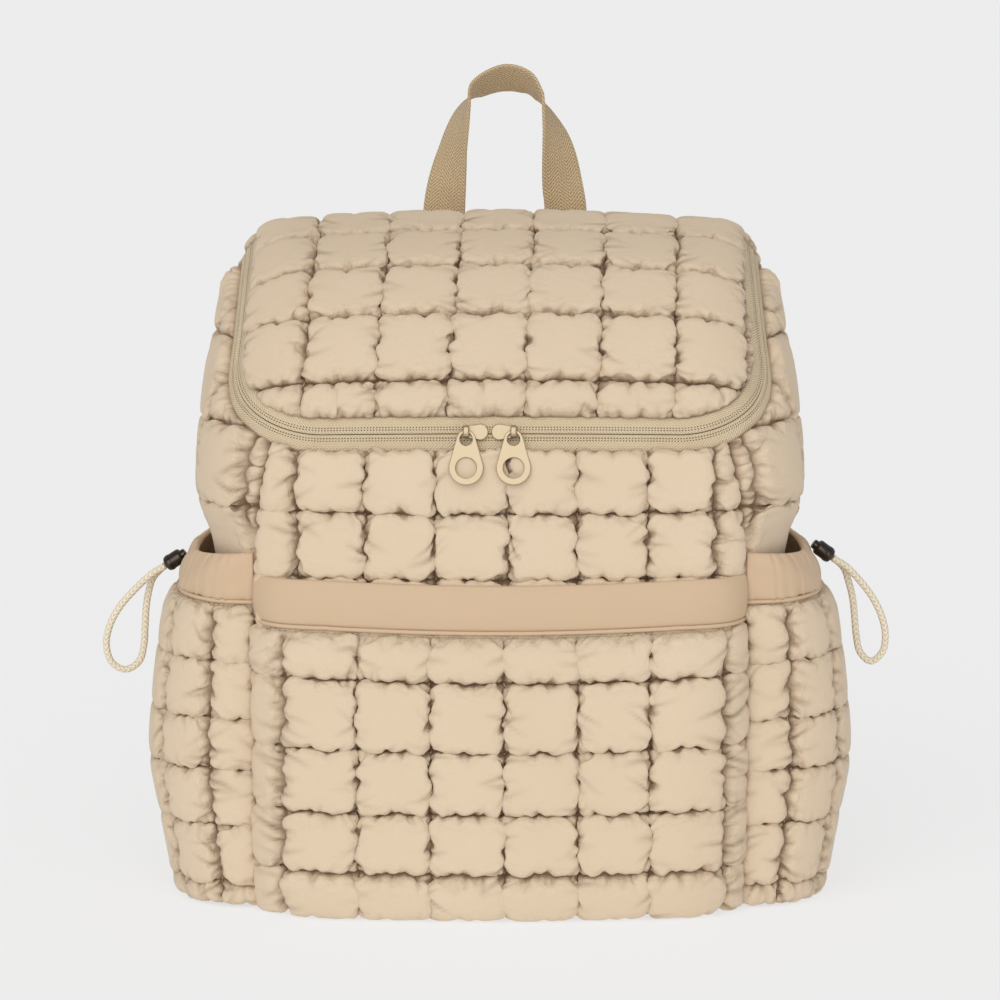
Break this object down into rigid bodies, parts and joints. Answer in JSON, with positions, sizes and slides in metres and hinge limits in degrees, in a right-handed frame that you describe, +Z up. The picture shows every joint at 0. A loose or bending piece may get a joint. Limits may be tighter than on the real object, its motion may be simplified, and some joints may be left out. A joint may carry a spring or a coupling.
{
  "type": "quilted puffer backpack",
  "caption": "Boxy padded backpack with a quilted lid on a curved zip, a front pocket, side pockets with drawcords, a grab handle and padded shoulder straps.",
  "frame": {"origin": "centre of the footprint on the floor, under the base, midway between the front pocket and the shoulder straps", "axes": "+X to the right seen from the front, +Y to the back where the shoulder straps are, +Z up"},
  "size_m": [0.4544, 0.2132, 0.4749],
  "materials": {
    "nylon": "matte quilted nylon",
    "smooth_nylon": "matte nylon",
    "zip_tape": "woven tape",
    "webbing": "woven webbing",
    "pale_gold": "satin plated",
    "gunmetal": "gloss plated",
    "cord": "braided cord",
    "buckle_plastic": "satin"
  },
  "bodies": {
    "bag": {"lid": "nylon", "front_panel": "nylon", "front_pocket": "nylon", "front_pocket_band": "smooth_nylon", "back_panel": "smooth_nylon", "base_panel": "smooth_nylon", "side_panel_right": "nylon", "side_panel_left": "nylon", "side_pocket_right": "nylon", "side_pocket_left": "nylon", "side_pocket_band_right": "smooth_nylon", "side_pocket_band_left": "smooth_nylon", "zip_tape_lid": "zip_tape", "zip_tape_body": "zip_tape", "zip_slider_left": "pale_gold", "zip_slider_right": "pale_gold", "handle": "webbing", "shoulder_strap_right": "smooth_nylon", "shoulder_strap_left": "smooth_nylon", "strap_adjuster_right": "buckle_plastic", "strap_adjuster_left": "buckle_plastic", "lower_strap_right": "webbing", "lower_strap_left": "webbing", "cord_lock_left": "gunmetal", "cord_lock_right": "gunmetal", "drawcord_left": "cord", "drawcord_right": "cord"},
    "pull_left": {"zip_pull_left": "pale_gold"},
    "pull_right": {"zip_pull_right": "pale_gold"}
  },
  "joints": [
    {"name": "zip_pull_left_hinge", "type": "hinge", "parent": "bag", "child": "pull_left", "pos_m": [-0.01875, -0.08859, 0.27673], "axis": [-1, 0, 0], "range_deg": [0, 140]},
    {"name": "zip_pull_right_hinge", "type": "hinge", "parent": "bag", "child": "pull_right", "pos_m": [0.00751, -0.08872, 0.27676], "axis": [-1, 0, 0], "range_deg": [0, 140]}
  ]
}
